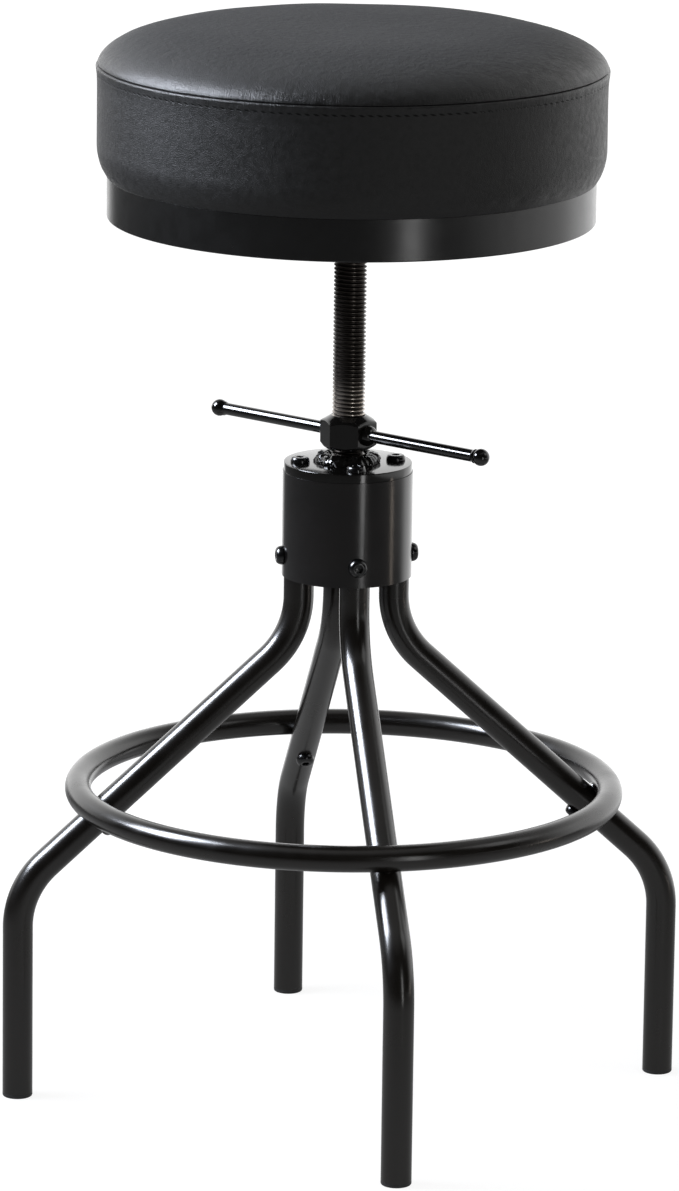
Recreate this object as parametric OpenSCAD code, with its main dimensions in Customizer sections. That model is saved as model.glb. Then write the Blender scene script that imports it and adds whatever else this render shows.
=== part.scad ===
// Round bar stool with a screw-lift seat, in millimetres.
// The stool stands on z = 0 with its lift screw on the Z axis and its four legs on +X, +Y, -X and -Y.
// The seat is shown at the top of its travel, with the stop washer just under the threaded bush.

/* [Seat] */
// Outside diameter of the steel band round the seat
band_d = 351.6; // [300:0.1:420]
// Height of the band
band_h = 31.1; // [26:0.1:45]
// Sheet thickness of the band
band_wall = 2; // [1.2:0.1:3]
// How far the cushion stands out over the band
cushion_overhang = 7.2; // [4:0.1:12]
// Height of the cushion above the band, to the top of its crown
cushion_h = 108.2; // [84:0.1:130]
// Radius of the cushion's rolled lower edge
cushion_roll_r = 30; // [22:1:36]
// Rise of the crown above the seam
crown_h = 28.4; // [16:0.1:40]
// How level the crown stays before it turns down
crown_flatness = 4.4; // [3:0.1:8]
// How full the shoulder is above the seam
shoulder_fullness = 1.7; // [1.4:0.05:2.4]
// Thickness of the leatherette cover
cover_t = 1.2; // [0.8:0.1:2]
// Width of the cover's hem under the board
hem_w = 18; // [10:1:26]
// Thickness of the plywood board
board_t = 12; // [11:0.5:18]
// Thickness of the seat pan
pan_t = 2; // [1.5:0.1:3]
// Height of the pan above the band's lower edge
pan_rise = 18.6; // [14:0.1:24]

/* [Lift screw] */
// Nominal diameter of the lift screw
thread_d = 24; // [20:1:28]
// Travel of the seat, from its top stop down
travel = 150; // [80:5:180]
// Gap left over the lock nut when the seat is right down
low_gap = 2.4; // [1:0.1:10]
// Diameter of the flange on top of the screw
flange_d = 110; // [95:1:140]
// Thickness of that flange
flange_t = 6; // [4:0.5:10]
// Leg of the fillet weld under the flange
flange_weld_leg = 5; // [3:0.5:7]
// Radius of the circle of flange bolts
flange_bolt_r = 40; // [34:1:40]
// Distance of the board screws in from the cover's hem
board_screw_inset = 15.5; // [8:0.5:60]
// Diameter of the stop washer
stop_washer_d = 34; // [32:0.5:40]
// Thickness of the stop washer
stop_washer_t = 4; // [3:0.5:8]

/* [Lock nut and handle] */
// Width of the lock nut across its flats
nut_af = 36; // [34:0.5:42]
// Height of the lock nut
nut_h = 26; // [22:0.5:34]
// Slope of the nut's coned ends
nut_cone_a = 31; // [20:1:40]
// Radius where the cone meets the nut's end face
nut_face_r = 13; // [12.5:0.1:15]
// Gap between the hub cap and the lock nut
nut_gap = 8.6; // [5:0.1:16]
// Direction of the handle, in degrees from +X
handle_a = -50; // [-80:1:-10]
// Diameter of the handle rods
rod_d = 9; // [8:0.5:12]
// Distance of the ball centres from the axis
handle_reach = 124; // [90:1:150]
// Diameter of the handle balls
ball_d = 12.5; // [12.5:0.5:20]

/* [Hub] */
// Outside diameter of the hub tube
hub_d = 94.6; // [90:0.1:120]
// Wall of the hub tube
hub_wall = 1.1; // [1:0.1:2]
// Height of the hub tube
hub_h = 77.1; // [70:0.1:110]
// Thickness of the hub cap
cap_t = 6.5; // [5:0.5:12]
// Step in from the hub tube to the cap
cap_step = 0.7; // [0.2:0.1:0.9]
// Rounding of the cap's upper edge
cap_edge_r = 2; // [1:0.1:3]
// Outside diameter of the threaded bush
bush_d = 34; // [32:0.5:38]
// Height of the bush above the cap
bush_rise = 3.2; // [1:0.1:4]
// Length of the bush
bush_l = 50; // [30:1:60]
// Width of the weld bead round the bush
bead_w = 6.5; // [2:0.1:7]

/* [Legs and foot ring] */
// Outside diameter of the leg tube
tube_d = 22; // [20:0.5:25]
// Wall of the leg tube
tube_wall = 1.5; // [1:0.1:2]
// Height of the legs, from the floor to the cap
leg_h = 464.5; // [430:0.5:600]
// Radius at which the legs stand on the floor
foot_r = 240; // [200:1:280]
// Drop from the hub tube to where the upright and sloping centre lines of a leg cross
knee_drop = 43.9; // [40:0.1:80]
// Height where those lines cross at the bottom of the slope
ankle_z = 157; // [120:1:165]
// Bend radius of the leg, on its centre line
bend_r = 64; // [50:1:80]
// Outside diameter of the foot ring's tube
ring_tube_d = 19; // [16:0.5:22]
// Wall of that tube
ring_wall = 1.5; // [1:0.1:2]
// Height of the foot ring
ring_z = 226.2; // [222:0.1:260]
// Thickness of a foot under the leg
foot_t = 3; // [2:0.5:8]
// Rounding of a foot's lower edge
foot_edge_r = 1.5; // [0.5:0.1:2]
// Length of a foot's stem in the leg
foot_stem_l = 20; // [12:1:35]

/* [Fasteners] */
// Nominal diameter of the black button-head bolts
bolt_d = 8; // [6:1:8]
// Diameter of their heads
bolt_head_d = 14; // [13:0.5:16]
// Height of their heads
bolt_head_h = 5; // [3.5:0.1:5.5]
// Width of the hexagon socket across its flats
bolt_socket_af = 5; // [4:0.5:6]
// Length of the cap bolts under the head
cap_bolt_l = 22; // [16:1:26]
// Length of the hub screws under the head
hub_screw_l = 13; // [8:1:15]
// Height of the hub screws above the hub's lower edge
hub_screw_rise = 15; // [10:0.5:30]
// Length of the threaded plugs in the leg tops
plug_l = 24; // [20:1:36]
// Diameter of the threaded inserts in the legs and the foot ring
insert_d = 11; // [10:0.1:12]
// Length of those inserts
insert_l = 12; // [8:0.5:14]
// Diameter of the board screws
wood_screw_d = 4.5; // [3.5:0.5:6]
// Length of the board screws in the board
wood_screw_l = 9; // [6:0.5:10]
// Diameter of the stop bolt
stop_bolt_d = 10; // [8:1:12]
// Length of the stop bolt in the screw
stop_bolt_l = 22; // [15:1:40]

/* [Fits] */
// Radial play of the lift screw in its threads
thread_play = 0.1; // [0.05:0.01:0.15]
// Clearance of pieces that are pressed, screwed or welded together
fit = 0.05; // [0.03:0.01:0.08]
// Clearance of a bolt in a plain hole
hole_play = 0.2; // [0.1:0.05:0.4]
// Clearance round soft pieces and loose washers
soft_gap = 0.3; // [0.2:0.05:0.5]

/* [Hidden] */
$fn = 96;

// Directions of the legs and of the four-fold bolt patterns
right_a = 0;
back_a = 90;
left_a = 180;
front_a = 270;
leg_angles = [right_a, back_a, left_a, front_a];

// Overshoot of cutting tools past the faces they cut
cut = 1;

// Hub, from the legs up
tube_r = tube_d / 2;
leg_top_r = hub_d / 2 - hub_wall - fit - tube_r;
hub_z = leg_h - hub_h;
cap_z = leg_h;
cap_top = cap_z + cap_t;
cap_r = hub_d / 2 - cap_step;
bush_top = cap_top + bush_rise;
bush_z = bush_top - bush_l;
hub_screw_z = hub_z + hub_screw_rise;
thread_bore_d = thread_d + thread_play;
screw_d = thread_d - thread_play;

// Lock nut and handle
nut_z = cap_top + nut_gap;
nut_top = nut_z + nut_h;
handle_z = nut_z + nut_h / 2;
nut_corner_r = nut_af / 2 / cos(30);
nut_wall_left = 0.8;
rod_root = thread_bore_d / 2 + nut_wall_left;
rod_flare_l = 4;
rod_flare_r = rod_d / 2 + 2;
neck_l = 8;
neck_flare = 0.6;
spigot_d = rod_d * 2 / 3;
spigot_l = neck_l + 1;

// Seat, from the lowest position of the flange up
weld_z = nut_top + low_gap + travel;
flange_z = weld_z + flange_weld_leg;
pan_z = flange_z + flange_t;
pan_top = pan_z + pan_t;
band_z = pan_z - pan_rise;
band_top = band_z + band_h;
band_r = band_d / 2;
band_in_r = band_r - band_wall;
board_z = pan_top + cover_t;
board_top = board_z + board_t;
board_r = band_in_r - cover_t - 2 * soft_gap;
hem_r = band_in_r - soft_gap;
board_screw_r = hem_r - hem_w - board_screw_inset;
tee_barrel_r = bolt_d / 2 + 1;
tee_barrel_l = 9;
tee_flange_r = 11;
tee_flange_t = 1.4;
seat_top = band_top + cushion_h;
cushion_r = band_r + cushion_overhang;

// Cushion outline: a rolled lower edge that clears the band, an upright side and a crown
roll_x = cushion_r - cushion_roll_r;
roll_z = band_top + sqrt(pow(cushion_roll_r + soft_gap, 2) - pow(band_in_r - roll_x, 2));
seam_z = seat_top - crown_h;
foam_inset = cover_t + soft_gap;
arc_steps = 10;
crown_steps = 24;

// Lift screw and its stop
washer_top = bush_z - soft_gap;
washer_z = washer_top - stop_washer_t;
screw_z = washer_top + soft_gap / 2;
stop_head_top = washer_z - soft_gap / 2;
stop_head_d = stop_bolt_d * 1.8;
stop_head_h = stop_bolt_d * 0.55;
stop_shoulder_d = stop_bolt_d + 4;
screw_chamfer = 1.5;

// Leg centre line: upright, bend, slope, bend, upright
knee_z = hub_z - knee_drop;
leg_run = foot_r - leg_top_r;
leg_drop = knee_z - ankle_z;
slope_a = atan2(leg_drop, leg_run);
bend_a = 90 - slope_a;
bend_tangent = bend_r * tan(bend_a / 2);
bend_steps = 6;
tube_sides = 24;
bore_r = tube_r - tube_wall;
bore_corner_r = bore_r / cos(180 / tube_sides);

// Foot ring, touching the upper side of the sloping tubes
ring_tube_r = ring_tube_d / 2;
ring_offset = tube_r + ring_tube_r + fit;
ring_r = leg_top_r + (ring_offset + (knee_z - ring_z) * cos(slope_a)) / sin(slope_a);
ring_bolt_l = ring_offset + tube_r + 1;
insert_sink = 0.5;

// Points of an arc about [x, z], from one angle to another
function arc(x, z, r, from, to, steps = arc_steps) =
    [for (i = [0 : steps]) let (a = from + (to - from) * i / steps) [x + r * cos(a), z + r * sin(a)]];

// Upper outline of the cushion, this far inside its surface, from the axis out to the seam
function crown_line(inset) =
    [for (i = [0 : crown_steps]) let (reach = sin(90 * i / crown_steps))
        [(cushion_r - inset) * reach,
         seam_z + (crown_h - inset) * pow(1 - pow(reach, crown_flatness), 1 / shoulder_fullness)]];

// Angle at which the rolled edge, this far inside the surface, reaches the board's clearance in the band
function roll_end_a(inset) = acos((hem_r - inset - roll_x) / (cushion_roll_r - inset));

// Lower outline of the cushion, from the end of the upright side round the rolled edge
function roll_line(inset, end_a) = arc(roll_x, roll_z, cushion_roll_r - inset, 0, -end_a);

module around(angles = leg_angles) {
    for (a = angles) rotate([0, 0, a]) children();
}

module ring_tube(r_out, r_in, z, h) {
    translate([0, 0, z]) difference() {
        cylinder(r = r_out, h = h);
        translate([0, 0, -cut]) cylinder(r = r_in, h = h + 2 * cut);
    }
}

// Button-head bolt along -Z, its head standing on z = 0
module button_bolt(length) {
    crown_top_r = bolt_head_d * 0.27;
    difference() {
        union() {
            rotate_extrude() polygon(concat(
                [[0, 0]],
                [for (i = [0 : arc_steps]) let (t = i / arc_steps)
                    [bolt_head_d / 2 - (bolt_head_d / 2 - crown_top_r) * (1 - cos(90 * t)),
                     bolt_head_h * sin(90 * t)]],
                [[0, bolt_head_h]]));
            translate([0, 0, -length]) cylinder(d = bolt_d, h = length + bolt_head_h / 4);
        }
        translate([0, 0, bolt_head_h * 0.4])
            cylinder(d = bolt_socket_af / cos(30), h = bolt_head_h, $fn = 6);
    }
}

// Threaded insert along -Z, its front at z = 0
module insert() {
    ring_tube(insert_d / 2, bolt_d / 2 + fit, -insert_l, insert_l);
}

// Cushion

module cover_top() {
    inner = crown_line(cover_t);
    color("#2b2b2d") rotate_extrude()
        polygon(concat(crown_line(0), [for (i = [len(inner) - 1 : -1 : 0]) inner[i]]));
}

module cover_side() {
    outer = roll_line(0, roll_end_a(0));
    inner = roll_line(cover_t, roll_end_a(cover_t));
    color("#262628") rotate_extrude()
        polygon(concat(
            [[cushion_r, seam_z]],
            outer,
            [[hem_r, pan_top],
             [hem_r - hem_w, pan_top],
             [hem_r - hem_w, board_z],
             [hem_r - cover_t, board_z]],
            [for (i = [len(inner) - 1 : -1 : 0]) inner[i]],
            [[cushion_r - cover_t, seam_z]]));
}

module foam_pad() {
    straight_end_z = roll_z - (cushion_roll_r - foam_inset) * sin(roll_end_a(foam_inset));
    in_band = straight_end_z > board_top;
    end_a = in_band ? roll_end_a(foam_inset) : asin((roll_z - board_top) / (cushion_roll_r - foam_inset));
    foot = in_band ? [[hem_r - foam_inset, board_top]] : [];
    color("#c9bd96") rotate_extrude()
        polygon(concat(crown_line(foam_inset), roll_line(foam_inset, end_a), foot, [[0, board_top]]));
}

module seat_board() {
    color("#b98f5c") difference() {
        translate([0, 0, board_z]) cylinder(r = board_r, h = board_t);
        around() translate([flange_bolt_r, 0, 0]) {
            translate([0, 0, board_z - cut]) cylinder(r = tee_barrel_r + fit, h = board_t + 2 * cut);
            translate([0, 0, board_top - tee_flange_t]) cylinder(r = tee_flange_r + fit, h = tee_flange_t + cut);
        }
        around() rotate([0, 0, 45]) translate([board_screw_r, 0, board_z - cut])
            cylinder(d = wood_screw_d + 2 * fit, h = wood_screw_l + cut);
    }
}

// Seat frame

module seat_band() {
    edge_r = band_wall / 2;
    middle_r = band_r - edge_r;
    color("#1c1c1e") rotate_extrude()
        polygon(concat(
            arc(middle_r, band_z + edge_r, edge_r, 180, 360),
            arc(middle_r, band_top - edge_r, edge_r, 0, 180)));
}

module seat_pan() {
    color("#1a1a1c") difference() {
        translate([0, 0, pan_z]) cylinder(r = band_in_r - fit, h = pan_t);
        around() translate([flange_bolt_r, 0, pan_z - cut])
            cylinder(r = bolt_d / 2 + hole_play, h = pan_t + 2 * cut);
        around() rotate([0, 0, 45]) translate([board_screw_r, 0, pan_z - cut])
            cylinder(r = wood_screw_d / 2 + hole_play, h = pan_t + 2 * cut);
    }
}

module screw_flange() {
    color("#1a1a1c") difference() {
        translate([0, 0, flange_z]) cylinder(d = flange_d, h = flange_t);
        translate([0, 0, flange_z - cut]) cylinder(r = screw_d / 2 + fit, h = flange_t + 2 * cut);
        around() translate([flange_bolt_r, 0, flange_z - cut])
            cylinder(r = bolt_d / 2 + hole_play, h = flange_t + 2 * cut);
    }
}

module flange_weld() {
    inner_r = screw_d / 2 + fit;
    color("#222224") rotate_extrude()
        polygon([[inner_r, weld_z], [inner_r + flange_weld_leg, flange_z], [inner_r, flange_z]]);
}

module lift_screw() {
    r = screw_d / 2;
    color("#4a4642") difference() {
        rotate_extrude()
            polygon([
                [0, screw_z],
                [r - screw_chamfer, screw_z],
                [r, screw_z + screw_chamfer],
                [r, pan_z],
                [0, pan_z]]);
        translate([0, 0, screw_z - cut]) cylinder(r = stop_bolt_d / 2 + fit, h = stop_bolt_l + 2 * cut);
    }
}

module flange_bolts() {
    length = flange_t + pan_t + cover_t + board_t - 1;
    color("#8d8d90") around() translate([flange_bolt_r, 0, flange_z]) mirror([0, 0, 1]) button_bolt(length);
}

// Tee nuts: barrels in the board under thin round flanges

module tee_nuts() {
    color("#9a9a9c") around() translate([flange_bolt_r, 0, board_top]) difference() {
        union() {
            translate([0, 0, -tee_flange_t]) cylinder(r = tee_flange_r, h = tee_flange_t);
            translate([0, 0, -tee_barrel_l]) cylinder(r = tee_barrel_r, h = tee_barrel_l - tee_flange_t / 2);
        }
        translate([0, 0, -tee_barrel_l - cut]) cylinder(r = bolt_d / 2 + fit, h = tee_barrel_l + 2 * cut);
    }
}

module board_screws() {
    head_h = wood_screw_d * 0.55;
    shank_l = wood_screw_l + pan_t + cover_t - 1;
    color("#9a9a9c") around() rotate([0, 0, 45]) translate([board_screw_r, 0, pan_z]) {
        translate([0, 0, -head_h]) cylinder(d = wood_screw_d * 2, h = head_h);
        translate([0, 0, -head_h / 2]) cylinder(d = wood_screw_d, h = shank_l + head_h / 2);
    }
}

// Top stop: a shoulder bolt in the end of the screw carries a washer wider than the bush's thread

module stop_bolt() {
    color("#8d8d90") difference() {
        union() {
            translate([0, 0, stop_head_top - stop_head_h]) cylinder(d = stop_head_d, h = stop_head_h);
            translate([0, 0, stop_head_top - stop_head_h / 2])
                cylinder(d = stop_shoulder_d, h = screw_z - stop_head_top + stop_head_h / 2);
            translate([0, 0, screw_z - stop_head_h / 2]) cylinder(d = stop_bolt_d, h = stop_bolt_l + stop_head_h / 2);
        }
        translate([0, 0, stop_head_top - stop_head_h - cut])
            cylinder(d = stop_bolt_d * 0.6 / cos(30), h = stop_head_h * 0.6 + cut, $fn = 6);
    }
}

module stop_washer() {
    color("#8d8d90")
        ring_tube(stop_washer_d / 2, stop_shoulder_d / 2 + fit, washer_z, stop_washer_t);
}

// Lock nut and its handle

// Turns a piece made along +X at z = 0 out to one side of the handle
module handle_side(a) {
    translate([0, 0, handle_z]) rotate([0, 0, handle_a + a]) children();
}

module lock_nut() {
    blank_r = nut_corner_r + cut;
    cone_h = (blank_r - nut_face_r) * tan(nut_cone_a);
    color("#141416") difference() {
        intersection() {
            translate([0, 0, nut_z]) rotate([0, 0, handle_a + 30])
                cylinder(r = nut_corner_r, h = nut_h, $fn = 6);
            rotate_extrude()
                polygon([
                    [0, nut_z],
                    [nut_face_r, nut_z],
                    [blank_r, nut_z + cone_h],
                    [blank_r, nut_top - cone_h],
                    [nut_face_r, nut_top],
                    [0, nut_top]]);
        }
        translate([0, 0, nut_z - cut]) cylinder(d = thread_bore_d, h = nut_h + 2 * cut);
        for (a = [right_a, left_a]) handle_side(a) translate([rod_root, 0, 0]) rotate([0, 90, 0])
            cylinder(r = rod_d / 2 + fit, h = nut_af);
    }
}

module handle_rod(a) {
    face = nut_af / 2;
    neck = handle_reach - neck_l;
    color("#141416") handle_side(a) rotate([0, 90, 0]) rotate_extrude()
        polygon([
            [0, rod_root],
            [rod_d / 2, rod_root],
            [rod_d / 2, face],
            [rod_flare_r, face],
            [rod_d / 2, face + rod_flare_l],
            [rod_d / 2, neck],
            [spigot_d / 2, neck],
            [spigot_d / 2, neck + spigot_l],
            [0, neck + spigot_l]]);
}

module handle_ball(a) {
    neck_end_r = rod_d / 2 + neck_flare;
    color("#141416") handle_side(a) translate([handle_reach, 0, 0]) rotate([0, 90, 0]) difference() {
        union() {
            sphere(d = ball_d);
            translate([0, 0, -neck_l]) cylinder(r1 = rod_d / 2, r2 = neck_end_r, h = neck_l - ball_d / 4);
        }
        translate([0, 0, -neck_l - cut]) cylinder(r = spigot_d / 2 + fit, h = spigot_l + cut + fit);
    }
}

module handle_rod_left() handle_rod(left_a);
module handle_rod_right() handle_rod(right_a);
module handle_ball_left() handle_ball(left_a);
module handle_ball_right() handle_ball(right_a);

// Hub

module hub_tube() {
    color("#1c1c1e") difference() {
        ring_tube(hub_d / 2, hub_d / 2 - hub_wall, hub_z, hub_h);
        around() translate([leg_top_r, 0, hub_screw_z]) rotate([0, 90, 0])
            cylinder(r = bolt_d / 2 + hole_play, h = hub_d / 2);
    }
}

module hub_cap() {
    color("#1a1a1c") difference() {
        rotate_extrude()
            polygon(concat(
                [[0, cap_z], [cap_r, cap_z]],
                arc(cap_r - cap_edge_r, cap_top - cap_edge_r, cap_edge_r, 0, 90),
                [[0, cap_top]]));
        translate([0, 0, cap_z - cut]) cylinder(r = bush_d / 2 + fit, h = cap_t + 2 * cut);
        around() translate([leg_top_r, 0, cap_z - cut]) cylinder(r = bolt_d / 2 + hole_play, h = cap_t + 2 * cut);
    }
}

module threaded_bush() {
    color("#6b6862") ring_tube(bush_d / 2, thread_bore_d / 2, bush_z, bush_l);
}

module bush_weld() {
    inner_r = bush_d / 2 + fit;
    bead_h = bush_rise - fit;
    color("#141416") rotate_extrude()
        polygon(concat(
            [[inner_r, cap_top]],
            [for (i = [0 : arc_steps]) let (a = 90 * i / arc_steps)
                [inner_r + bead_w * cos(a), cap_top + bead_h * sin(a)]]));
}

module cap_bolts() {
    color("#141416") around() translate([leg_top_r, 0, cap_top]) button_bolt(cap_bolt_l);
}

module hub_screws() {
    color("#141416") around() translate([hub_d / 2, 0, hub_screw_z]) rotate([0, 90, 0]) button_bolt(hub_screw_l);
}

module leg_top_plugs() {
    color("#8d8d90") around() translate([leg_top_r, 0, 0])
        ring_tube(bore_r - fit, bolt_d / 2 + fit, leg_h - plug_l, plug_l);
}

module leg_inserts() {
    color("#8d8d90") around() translate([leg_top_r + tube_r - insert_sink, 0, hub_screw_z])
        rotate([0, 90, 0]) insert();
}

// Legs

// Stations on a leg's centre line from the cap to the foot: x, z and the slope from the upright
leg_line = concat(
    [[leg_top_r, leg_h, 0]],
    [for (i = [0 : bend_steps]) let (a = bend_a * i / bend_steps)
        [leg_top_r + bend_r * (1 - cos(a)), knee_z + bend_tangent - bend_r * sin(a), a]],
    [for (i = [0 : bend_steps]) let (a = bend_a * (1 - i / bend_steps))
        [foot_r - bend_r * (1 - cos(a)), ankle_z - bend_tangent + bend_r * sin(a), a]],
    [[foot_r, foot_t, 0]]);

// Ring of points round one station
function station_ring(station, r) = let (x = station[0], z = station[1], a = station[2])
    [for (j = [0 : tube_sides - 1]) let (t = 360 * j / tube_sides)
        [x + r * cos(t) * cos(a), r * sin(t), z + r * cos(t) * sin(a)]];

// The bent tube of one leg: rings down its outside and back up its bore, joined band by band. The
// flats of the bore lie at its true radius, so that round plugs fit in it.
module bent_tube() {
    last = len(leg_line) - 1;
    rings = concat(
        [for (i = [0 : last]) station_ring(leg_line[i], tube_r)],
        [for (i = [last : -1 : 0]) station_ring(leg_line[i], bore_corner_r)]);
    points = [for (ring = rings) each ring];
    faces = [for (i = [0 : len(rings) - 1]) for (j = [0 : tube_sides - 1])
        let (k = (i + 1) % len(rings), m = (j + 1) % tube_sides)
        each [
            [i * tube_sides + j, k * tube_sides + m, k * tube_sides + j],
            [i * tube_sides + j, i * tube_sides + m, k * tube_sides + m]]];
    polyhedron(points, faces);
}

// Puts a piece on the ring bolt's axis, with z = 0 on the leg's centre line and +Z towards the ring
module at_ring_bolt() {
    translate([ring_r - ring_offset * sin(slope_a), 0, ring_z - ring_offset * cos(slope_a)])
        rotate([0, slope_a, 0]) children();
}

module leg(a) {
    color("#161618") rotate([0, 0, a]) difference() {
        bent_tube();
        translate([leg_top_r, 0, hub_screw_z]) rotate([0, 90, 0]) cylinder(r = insert_d / 2 + fit, h = tube_d);
        at_ring_bolt() translate([0, 0, -tube_d]) cylinder(r = bolt_d / 2 + hole_play, h = 2 * tube_d);
    }
}

module leg_front() leg(front_a);
module leg_right() leg(right_a);
module leg_back() leg(back_a);
module leg_left() leg(left_a);

module foot_ring() {
    color("#161618") difference() {
        translate([0, 0, ring_z]) rotate_extrude() translate([ring_r, 0]) difference() {
            circle(d = ring_tube_d);
            circle(d = ring_tube_d - 2 * ring_wall);
        }
        around() at_ring_bolt() translate([0, 0, tube_r])
            cylinder(r = insert_d / 2 + fit, h = ring_offset - tube_r);
    }
}

module ring_bolts() {
    color("#141416") around() at_ring_bolt() translate([0, 0, -tube_r]) mirror([0, 0, 1]) button_bolt(ring_bolt_l);
}

module ring_inserts() {
    color("#8d8d90") around() at_ring_bolt() translate([0, 0, tube_r + insert_sink + fit]) mirror([0, 0, 1]) insert();
}

// Feet: plastic plugs with a flat base and ribbed stems

module foot(a) {
    stem_r = bore_r - fit;
    rib_depth = 1;
    ribs = 3;
    rib_pitch = foot_stem_l / ribs;
    color("#1a1a1a") rotate([0, 0, a]) translate([foot_r, 0, 0]) rotate_extrude()
        polygon(concat(
            [[0, 0]],
            arc(tube_r - foot_edge_r, foot_edge_r, foot_edge_r, -90, 0),
            [[tube_r, foot_t], [stem_r - rib_depth, foot_t]],
            [for (i = [0 : ribs - 1]) each [
                [stem_r - rib_depth, foot_t + rib_pitch * (i + 0.4)],
                [stem_r, foot_t + rib_pitch * (i + 0.5)],
                [stem_r, foot_t + rib_pitch * (i + 0.7)],
                [stem_r - rib_depth, foot_t + rib_pitch * (i + 1)]]],
            [[0, foot_t + foot_stem_l]]));
}

module foot_front() foot(front_a);
module foot_right() foot(right_a);
module foot_back() foot(back_a);
module foot_left() foot(left_a);

cover_top();
cover_side();
foam_pad();
seat_board();
seat_band();
seat_pan();
screw_flange();
flange_weld();
lift_screw();
flange_bolts();
tee_nuts();
board_screws();
stop_bolt();
stop_washer();
lock_nut();
handle_rod_left();
handle_rod_right();
handle_ball_left();
handle_ball_right();
hub_tube();
hub_cap();
threaded_bush();
bush_weld();
cap_bolts();
hub_screws();
leg_top_plugs();
leg_inserts();
leg_front();
leg_right();
leg_back();
leg_left();
foot_ring();
ring_bolts();
ring_inserts();
foot_front();
foot_right();
foot_back();
foot_left();
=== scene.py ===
import bisect
import math

import bpy
from mathutils import Matrix, Vector, noise


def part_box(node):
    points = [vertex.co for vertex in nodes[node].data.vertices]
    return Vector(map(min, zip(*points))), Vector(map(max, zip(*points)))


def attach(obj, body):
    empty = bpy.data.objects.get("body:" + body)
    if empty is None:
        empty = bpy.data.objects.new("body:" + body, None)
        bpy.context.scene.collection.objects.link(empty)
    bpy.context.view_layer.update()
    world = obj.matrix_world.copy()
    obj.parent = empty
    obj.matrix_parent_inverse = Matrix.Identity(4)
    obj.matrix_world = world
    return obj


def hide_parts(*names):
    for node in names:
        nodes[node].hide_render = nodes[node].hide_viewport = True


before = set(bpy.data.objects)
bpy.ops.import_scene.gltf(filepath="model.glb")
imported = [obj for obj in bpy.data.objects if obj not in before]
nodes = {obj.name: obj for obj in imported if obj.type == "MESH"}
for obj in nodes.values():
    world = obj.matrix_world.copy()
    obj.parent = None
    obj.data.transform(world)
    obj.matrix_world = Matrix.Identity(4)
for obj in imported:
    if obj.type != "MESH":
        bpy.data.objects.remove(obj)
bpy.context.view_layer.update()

scene = bpy.context.scene


# Legs: four 22 mm steel tubes, cold bent twice on a 64 mm radius and stoved in black gloss enamel.
# Their tops stand side by side in the hub, and each lower end takes a plastic foot.

def linear(hex_colour):
    """An sRGB colour such as "1a1a1c" as linear red, green, blue and alpha."""
    channels = [int(hex_colour[i:i + 2], 16) / 255 for i in (0, 2, 4)]
    return [c / 12.92 if c <= 0.04045 else ((c + 0.055) / 1.055) ** 2.4 for c in channels] + [1.0]


def connect(tree, node, links):
    """Links inputs of a node to sockets, or to the first output in use of other nodes."""
    for name, source in links.items():
        if isinstance(source, bpy.types.Node):
            source = next(socket for socket in source.outputs if socket.enabled)
        tree.links.new(source, node.inputs[name])


def add_node(tree, kind, settings=None, links=None):
    """Adds a node: small letters name its properties, capitals or numbers its sockets."""
    node = tree.nodes.new(kind)
    for name, value in (settings or {}).items():
        if isinstance(name, str) and name[0].islower():
            setattr(node, name, value)
        else:
            node.inputs[name].default_value = value
    connect(tree, node, links or {})
    return node


def start_finish(name, settings):
    """A new material, with these values on its Principled shader: material, tree, shader, place."""
    finish = bpy.data.materials.new(name)
    finish.use_nodes = True
    tree = finish.node_tree
    shader = tree.nodes["Principled BSDF"]
    for socket, value in settings.items():
        shader.inputs[socket].default_value = value
    place = add_node(tree, "ShaderNodeTexCoord").outputs["Object"]
    return finish, tree, shader, place


def vary_finish(tree, shader, pattern, colours=(), roughness=(), span=(0.0, 1.0), relief=()):
    """Lets a pattern drive a finish between two colours and two values of roughness.

    The roughness changes over a span of the pattern. Relief is the strength and height of its bumps.
    """
    links = {}
    if colours:
        links["Base Color"] = add_node(
            tree, "ShaderNodeMix", {"data_type": "RGBA", 6: linear(colours[0]), 7: linear(colours[1])},
            {"Factor": pattern})
    if roughness:
        links["Roughness"] = add_node(
            tree, "ShaderNodeMapRange", {"From Min": span[0], "From Max": span[1],
                                         "To Min": roughness[0], "To Max": roughness[1]},
            {"Value": pattern})
    if relief:
        links["Normal"] = add_node(
            tree, "ShaderNodeBump", {"Strength": relief[0], "Distance": relief[1]}, {"Height": pattern})
    connect(tree, shader, links)


# Stoved gloss enamel: sprayed and baked, so it is hard and deeply glossy, with a faint orange peel
# of about 4 mm and a film of dust that dulls it in patches.
gloss_enamel, tree, shader, place = start_finish("stoved_gloss_enamel", {"IOR": 1.5})
dust = add_node(tree, "ShaderNodeTexNoise", {"Scale": 1 / 0.03, "Detail": 4.0}, {"Vector": place})
peel = add_node(tree, "ShaderNodeTexNoise", {"Scale": 1 / 0.004, "Detail": 1.0}, {"Vector": place})
vary_finish(tree, shader, dust, colours=("100e0b", "1c1814"), roughness=(0.2, 0.3), span=(0.35, 0.75))
vary_finish(tree, shader, peel, relief=(0.03, 0.0003))


def start_tree(name, sizes):
    """A geometry tree with a named input for each size, given as name: kind of socket."""
    tree = bpy.data.node_groups.new(name, "GeometryNodeTree")
    for size, kind in {"Geometry": "Geometry", **sizes}.items():
        tree.interface.new_socket(size, in_out="INPUT", socket_type="NodeSocket" + kind)
    tree.interface.new_socket("Geometry", in_out="OUTPUT", socket_type="NodeSocketGeometry")
    return tree, tree.nodes.new("NodeGroupInput").outputs


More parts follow.
